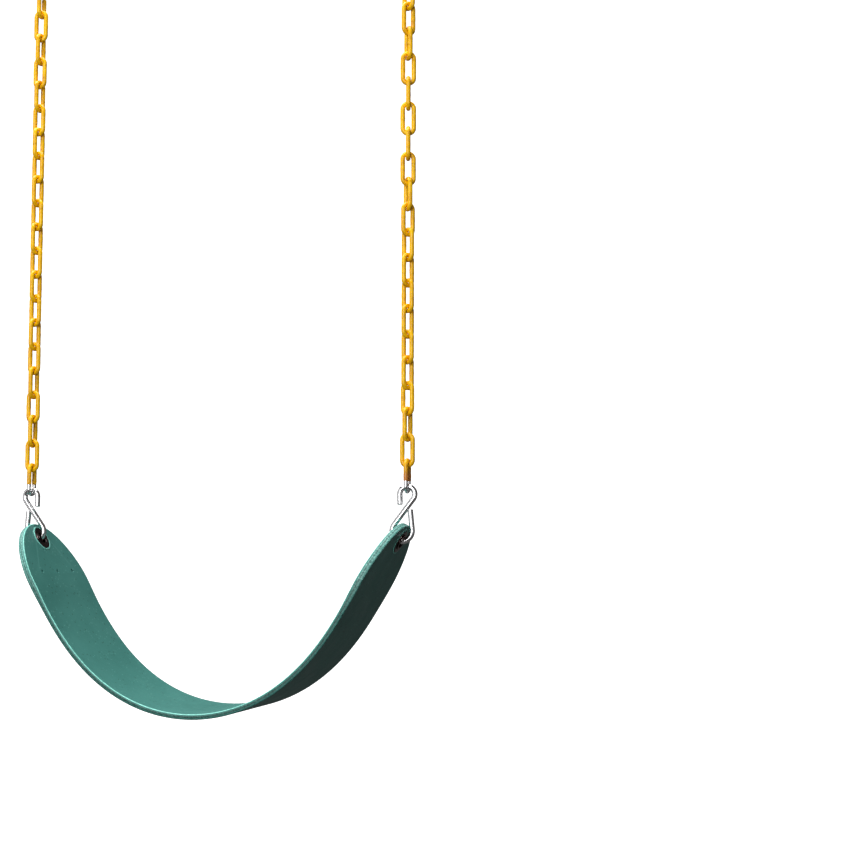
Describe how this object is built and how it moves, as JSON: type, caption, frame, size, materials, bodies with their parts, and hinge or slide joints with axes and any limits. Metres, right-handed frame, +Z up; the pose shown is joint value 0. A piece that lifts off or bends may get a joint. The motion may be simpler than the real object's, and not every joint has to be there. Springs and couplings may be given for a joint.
{
  "type": "belt swing seat",
  "caption": "Moulded belt swing seat hung by S-hooks through grommets from two coated chains that end in sprung snap hooks.",
  "frame": {"origin": "midway between the two snap hooks, at the height where the hanger bears on the inside of their eyes", "axes": "+X from the left snap hook to the right one, along the beam; +Y the way the seat swings; +Z up"},
  "size_m": [0.5156, 0.14, 0.9665],
  "materials": {
    "green_rubber": "matt moulded green, faintly speckled",
    "yellow_coating": "glossy dipped yellow vinyl over steel",
    "zinc_steel": "bright zinc plate",
    "dark_bronze": "dark antique, glossy",
    "insert_steel": "plain sheet",
    "spring_steel": "drawn wire"
  },
  "bodies": {
    "snap_hooks": {"snap_hook_body_left": "zinc_steel", "snap_hook_body_right": "zinc_steel", "gate_rivet_left": "zinc_steel", "gate_rivet_right": "zinc_steel"},
    "gate_left": {"snap_hook_gate_left": "zinc_steel", "gate_spring_left": "spring_steel"},
    "gate_right": {"snap_hook_gate_right": "zinc_steel", "gate_spring_right": "spring_steel"},
    "link_left_21": {"chain_link_left_21": "yellow_coating"},
    "link_left_20": {"chain_link_left_20": "yellow_coating"},
    "link_left_19": {"chain_link_left_19": "yellow_coating"},
    "link_left_18": {"chain_link_left_18": "yellow_coating"},
    "link_left_17": {"chain_link_left_17": "yellow_coating"},
    "link_left_16": {"chain_link_left_16": "yellow_coating"},
    "link_left_15": {"chain_link_left_15": "yellow_coating"},
    "link_left_14": {"chain_link_left_14": "yellow_coating"},
    "link_left_13": {"chain_link_left_13": "yellow_coating"},
    "link_left_12": {"chain_link_left_12": "yellow_coating"},
    "link_left_11": {"chain_link_left_11": "yellow_coating"},
    "link_left_10": {"chain_link_left_10": "yellow_coating"},
    "link_left_09": {"chain_link_left_09": "yellow_coating"},
    "link_left_08": {"chain_link_left_08": "yellow_coating"},
    "link_left_07": {"chain_link_left_07": "yellow_coating"},
    "link_left_06": {"chain_link_left_06": "yellow_coating"},
    "link_left_05": {"chain_link_left_05": "yellow_coating"},
    "link_left_04": {"chain_link_left_04": "yellow_coating"},
    "link_left_03": {"chain_link_left_03": "yellow_coating"},
    "link_left_02": {"chain_link_left_02": "yellow_coating"},
    "link_left_01": {"chain_link_left_01": "yellow_coating"},
    "s_hook_left": {"s_hook_left": "zinc_steel"},
    "link_right_21": {"chain_link_right_21": "yellow_coating"},
    "link_right_20": {"chain_link_right_20": "yellow_coating"},
    "link_right_19": {"chain_link_right_19": "yellow_coating"},
    "link_right_18": {"chain_link_right_18": "yellow_coating"},
    "link_right_17": {"chain_link_right_17": "yellow_coating"},
    "link_right_16": {"chain_link_right_16": "yellow_coating"},
    "link_right_15": {"chain_link_right_15": "yellow_coating"},
    "link_right_14": {"chain_link_right_14": "yellow_coating"},
    "link_right_13": {"chain_link_right_13": "yellow_coating"},
    "link_right_12": {"chain_link_right_12": "yellow_coating"},
    "link_right_11": {"chain_link_right_11": "yellow_coating"},
    "link_right_10": {"chain_link_right_10": "yellow_coating"},
    "link_right_09": {"chain_link_right_09": "yellow_coating"},
    "link_right_08": {"chain_link_right_08": "yellow_coating"},
    "link_right_07": {"chain_link_right_07": "yellow_coating"},
    "link_right_06": {"chain_link_right_06": "yellow_coating"},
    "link_right_05": {"chain_link_right_05": "yellow_coating"},
    "link_right_04": {"chain_link_right_04": "yellow_coating"},
    "link_right_03": {"chain_link_right_03": "yellow_coating"},
    "link_right_02": {"chain_link_right_02": "yellow_coating"},
    "link_right_01": {"chain_link_right_01": "yellow_coating"},
    "s_hook_right": {"s_hook_right": "zinc_steel"},
    "seat": {"seat_belt": "green_rubber", "insert_plate_left": "insert_steel", "insert_plate_right": "insert_steel", "grommet_eyelet_left": "dark_bronze", "grommet_eyelet_right": "dark_bronze", "grommet_washer_left": "dark_bronze", "grommet_washer_right": "dark_bronze"}
  },
  "joints": [
    {"name": "gate_left_hinge", "type": "hinge", "parent": "snap_hooks", "child": "gate_left", "pos_m": [-0.25287, 0, -0.046], "axis": [0, 1, 0], "range_deg": [0, 12], "stiffness_Nm_per_rad": 0.1, "springref_deg": -20.05},
    {"name": "gate_right_hinge", "type": "hinge", "parent": "snap_hooks", "child": "gate_right", "pos_m": [0.22573, 0, -0.046], "axis": [0, 1, 0], "range_deg": [0, 12], "stiffness_Nm_per_rad": 0.1, "springref_deg": -20.05},
    {"name": "swing_left", "type": "hinge", "parent": "snap_hooks", "child": "link_left_21", "pos_m": [-0.2393, 0, -0.0695], "axis": [1, 0, 0], "range_deg": [-60, 60]},
    {"name": "link_left_20_hinge", "type": "hinge", "parent": "link_left_21", "child": "link_left_20", "pos_m": [-0.2393, 0, -0.09625], "axis": [1, 0, 0], "range_deg": [-8, 8]},
    {"name": "link_left_19_hinge", "type": "hinge", "parent": "link_left_20", "child": "link_left_19", "pos_m": [-0.2393, 0, -0.12625], "axis": [1, 0, 0], "range_deg": [-8, 8]},
    {"name": "link_left_18_hinge", "type": "hinge", "parent": "link_left_19", "child": "link_left_18", "pos_m": [-0.2393, 0, -0.15625], "axis": [1, 0, 0], "range_deg": [-8, 8]},
    {"name": "link_left_17_hinge", "type": "hinge", "parent": "link_left_18", "child": "link_left_17", "pos_m": [-0.2393, 0, -0.18625], "axis": [1, 0, 0], "range_deg": [-8, 8]},
    {"name": "link_left_16_hinge", "type": "hinge", "parent": "link_left_17", "child": "link_left_16", "pos_m": [-0.2393, 0, -0.21625], "axis": [1, 0, 0], "range_deg": [-8, 8]},
    {"name": "link_left_15_hinge", "type": "hinge", "parent": "link_left_16", "child": "link_left_15", "pos_m": [-0.2393, 0, -0.24625], "axis": [1, 0, 0], "range_deg": [-8, 8]},
    {"name": "link_left_14_hinge", "type": "hinge", "parent": "link_left_15", "child": "link_left_14", "pos_m": [-0.2393, 0, -0.27625], "axis": [1, 0, 0], "range_deg": [-8, 8]},
    {"name": "link_left_13_hinge", "type": "hinge", "parent": "link_left_14", "child": "link_left_13", "pos_m": [-0.2393, 0, -0.30625], "axis": [1, 0, 0], "range_deg": [-8, 8]},
    {"name": "link_left_12_hinge", "type": "hinge", "parent": "link_left_13", "child": "link_left_12", "pos_m": [-0.2393, 0, -0.33625], "axis": [1, 0, 0], "range_deg": [-8, 8]},
    {"name": "link_left_11_hinge", "type": "hinge", "parent": "link_left_12", "child": "link_left_11", "pos_m": [-0.2393, 0, -0.36625], "axis": [1, 0, 0], "range_deg": [-8, 8]},
    {"name": "link_left_10_hinge", "type": "hinge", "parent": "link_left_11", "child": "link_left_10", "pos_m": [-0.2393, 0, -0.39625], "axis": [1, 0, 0], "range_deg": [-8, 8]},
    {"name": "link_left_09_hinge", "type": "hinge", "parent": "link_left_10", "child": "link_left_09", "pos_m": [-0.2393, 0, -0.42625], "axis": [1, 0, 0], "range_deg": [-8, 8]},
    {"name": "link_left_08_hinge", "type": "hinge", "parent": "link_left_09", "child": "link_left_08", "pos_m": [-0.2393, 0, -0.45625], "axis": [1, 0, 0], "range_deg": [-8, 8]},
    {"name": "link_left_07_hinge", "type": "hinge", "parent": "link_left_08", "child": "link_left_07", "pos_m": [-0.2393, 0, -0.48625], "axis": [1, 0, 0], "range_deg": [-8, 8]},
    {"name": "link_left_06_hinge", "type": "hinge", "parent": "link_left_07", "child": "link_left_06", "pos_m": [-0.2393, 0, -0.51625], "axis": [1, 0, 0], "range_deg": [-8, 8]},
    {"name": "link_left_05_hinge", "type": "hinge", "parent": "link_left_06", "child": "link_left_05", "pos_m": [-0.2393, 0, -0.54625], "axis": [1, 0, 0], "range_deg": [-8, 8]},
    {"name": "link_left_04_hinge", "type": "hinge", "parent": "link_left_05", "child": "link_left_04", "pos_m": [-0.2393, 0, -0.57625], "axis": [1, 0, 0], "range_deg": [-8, 8]},
    {"name": "link_left_03_hinge", "type": "hinge", "parent": "link_left_04", "child": "link_left_03", "pos_m": [-0.2393, 0, -0.60625], "axis": [1, 0, 0], "range_deg": [-8, 8]},
    {"name": "link_left_02_hinge", "type": "hinge", "parent": "link_left_03", "child": "link_left_02", "pos_m": [-0.2393, 0, -0.63625], "axis": [1, 0, 0], "range_deg": [-8, 8]},
    {"name": "link_left_01_hinge", "type": "hinge", "parent": "link_left_02", "child": "link_left_01", "pos_m": [-0.2393, 0, -0.66625], "axis": [1, 0, 0], "range_deg": [-8, 8]},
    {"name": "s_hook_left_hinge", "type": "hinge", "parent": "link_left_01", "child": "s_hook_left", "pos_m": [-0.2393, 0, -0.69325], "axis": [1, 0, 0], "range_deg": [-30, 30]},
    {"name": "swing_right", "type": "hinge", "parent": "snap_hooks", "child": "link_right_21", "pos_m": [0.2393, 0, -0.0695], "axis": [1, 0, 0], "range_deg": [-60, 60]},
    {"name": "link_right_20_hinge", "type": "hinge", "parent": "link_right_21", "child": "link_right_20", "pos_m": [0.2393, 0, -0.09625], "axis": [1, 0, 0], "range_deg": [-8, 8]},
    {"name": "link_right_19_hinge", "type": "hinge", "parent": "link_right_20", "child": "link_right_19", "pos_m": [0.2393, 0, -0.12625], "axis": [1, 0, 0], "range_deg": [-8, 8]},
    {"name": "link_right_18_hinge", "type": "hinge", "parent": "link_right_19", "child": "link_right_18", "pos_m": [0.2393, 0, -0.15625], "axis": [1, 0, 0], "range_deg": [-8, 8]},
    {"name": "link_right_17_hinge", "type": "hinge", "parent": "link_right_18", "child": "link_right_17", "pos_m": [0.2393, 0, -0.18625], "axis": [1, 0, 0], "range_deg": [-8, 8]},
    {"name": "link_right_16_hinge", "type": "hinge", "parent": "link_right_17", "child": "link_right_16", "pos_m": [0.2393, 0, -0.21625], "axis": [1, 0, 0], "range_deg": [-8, 8]},
    {"name": "link_right_15_hinge", "type": "hinge", "parent": "link_right_16", "child": "link_right_15", "pos_m": [0.2393, 0, -0.24625], "axis": [1, 0, 0], "range_deg": [-8, 8]},
    {"name": "link_right_14_hinge", "type": "hinge", "parent": "link_right_15", "child": "link_right_14", "pos_m": [0.2393, 0, -0.27625], "axis": [1, 0, 0], "range_deg": [-8, 8]},
    {"name": "link_right_13_hinge", "type": "hinge", "parent": "link_right_14", "child": "link_right_13", "pos_m": [0.2393, 0, -0.30625], "axis": [1, 0, 0], "range_deg": [-8, 8]},
    {"name": "link_right_12_hinge", "type": "hinge", "parent": "link_right_13", "child": "link_right_12", "pos_m": [0.2393, 0, -0.33625], "axis": [1, 0, 0], "range_deg": [-8, 8]},
    {"name": "link_right_11_hinge", "type": "hinge", "parent": "link_right_12", "child": "link_right_11", "pos_m": [0.2393, 0, -0.36625], "axis": [1, 0, 0], "range_deg": [-8, 8]},
    {"name": "link_right_10_hinge", "type": "hinge", "parent": "link_right_11", "child": "link_right_10", "pos_m": [0.2393, 0, -0.39625], "axis": [1, 0, 0], "range_deg": [-8, 8]},
    {"name": "link_right_09_hinge", "type": "hinge", "parent": "link_right_10", "child": "link_right_09", "pos_m": [0.2393, 0, -0.42625], "axis": [1, 0, 0], "range_deg": [-8, 8]},
    {"name": "link_right_08_hinge", "type": "hinge", "parent": "link_right_09", "child": "link_right_08", "pos_m": [0.2393, 0, -0.45625], "axis": [1, 0, 0], "range_deg": [-8, 8]},
    {"name": "link_right_07_hinge", "type": "hinge", "parent": "link_right_08", "child": "link_right_07", "pos_m": [0.2393, 0, -0.48625], "axis": [1, 0, 0], "range_deg": [-8, 8]},
    {"name": "link_right_06_hinge", "type": "hinge", "parent": "link_right_07", "child": "link_right_06", "pos_m": [0.2393, 0, -0.51625], "axis": [1, 0, 0], "range_deg": [-8, 8]},
    {"name": "link_right_05_hinge", "type": "hinge", "parent": "link_right_06", "child": "link_right_05", "pos_m": [0.2393, 0, -0.54625], "axis": [1, 0, 0], "range_deg": [-8, 8]},
    {"name": "link_right_04_hinge", "type": "hinge", "parent": "link_right_05", "child": "link_right_04", "pos_m": [0.2393, 0, -0.57625], "axis": [1, 0, 0], "range_deg": [-8, 8]},
    {"name": "link_right_03_hinge", "type": "hinge", "parent": "link_right_04", "child": "link_right_03", "pos_m": [0.2393, 0, -0.60625], "axis": [1, 0, 0], "range_deg": [-8, 8]},
    {"name": "link_right_02_hinge", "type": "hinge", "parent": "link_right_03", "child": "link_right_02", "pos_m": [0.2393, 0, -0.63625], "axis": [1, 0, 0], "range_deg": [-8, 8]},
    {"name": "link_right_01_hinge", "type": "hinge", "parent": "link_right_02", "child": "link_right_01", "pos_m": [0.2393, 0, -0.66625], "axis": [1, 0, 0], "range_deg": [-8, 8]},
    {"name": "s_hook_right_hinge", "type": "hinge", "parent": "link_right_01", "child": "s_hook_right", "pos_m": [0.2393, 0, -0.69325], "axis": [1, 0, 0], "range_deg": [-30, 30]},
    {"name": "seat_hinge", "type": "hinge", "parent": "s_hook_left", "child": "seat", "pos_m": [-0.22748, 0, -0.75482], "axis": [1, 0, 0], "range_deg": [-15, 15]}
  ],
  "couplings": [
    {"joint": "swing_right", "follows": "swing_left", "ratio": 1},
    {"joint": "link_right_20_hinge", "follows": "link_left_20_hinge", "ratio": 1},
    {"joint": "link_right_19_hinge", "follows": "link_left_19_hinge", "ratio": 1},
    {"joint": "link_right_18_hinge", "follows": "link_left_18_hinge", "ratio": 1},
    {"joint": "link_right_17_hinge", "follows": "link_left_17_hinge", "ratio": 1},
    {"joint": "link_right_16_hinge", "follows": "link_left_16_hinge", "ratio": 1},
    {"joint": "link_right_15_hinge", "follows": "link_left_15_hinge", "ratio": 1},
    {"joint": "link_right_14_hinge", "follows": "link_left_14_hinge", "ratio": 1},
    {"joint": "link_right_13_hinge", "follows": "link_left_13_hinge", "ratio": 1},
    {"joint": "link_right_12_hinge", "follows": "link_left_12_hinge", "ratio": 1},
    {"joint": "link_right_11_hinge", "follows": "link_left_11_hinge", "ratio": 1},
    {"joint": "link_right_10_hinge", "follows": "link_left_10_hinge", "ratio": 1},
    {"joint": "link_right_09_hinge", "follows": "link_left_09_hinge", "ratio": 1},
    {"joint": "link_right_08_hinge", "follows": "link_left_08_hinge", "ratio": 1},
    {"joint": "link_right_07_hinge", "follows": "link_left_07_hinge", "ratio": 1},
    {"joint": "link_right_06_hinge", "follows": "link_left_06_hinge", "ratio": 1},
    {"joint": "link_right_05_hinge", "follows": "link_left_05_hinge", "ratio": 1},
    {"joint": "link_right_04_hinge", "follows": "link_left_04_hinge", "ratio": 1},
    {"joint": "link_right_03_hinge", "follows": "link_left_03_hinge", "ratio": 1},
    {"joint": "link_right_02_hinge", "follows": "link_left_02_hinge", "ratio": 1},
    {"joint": "link_right_01_hinge", "follows": "link_left_01_hinge", "ratio": 1},
    {"joint": "s_hook_right_hinge", "follows": "s_hook_left_hinge", "ratio": 1}
  ]
}
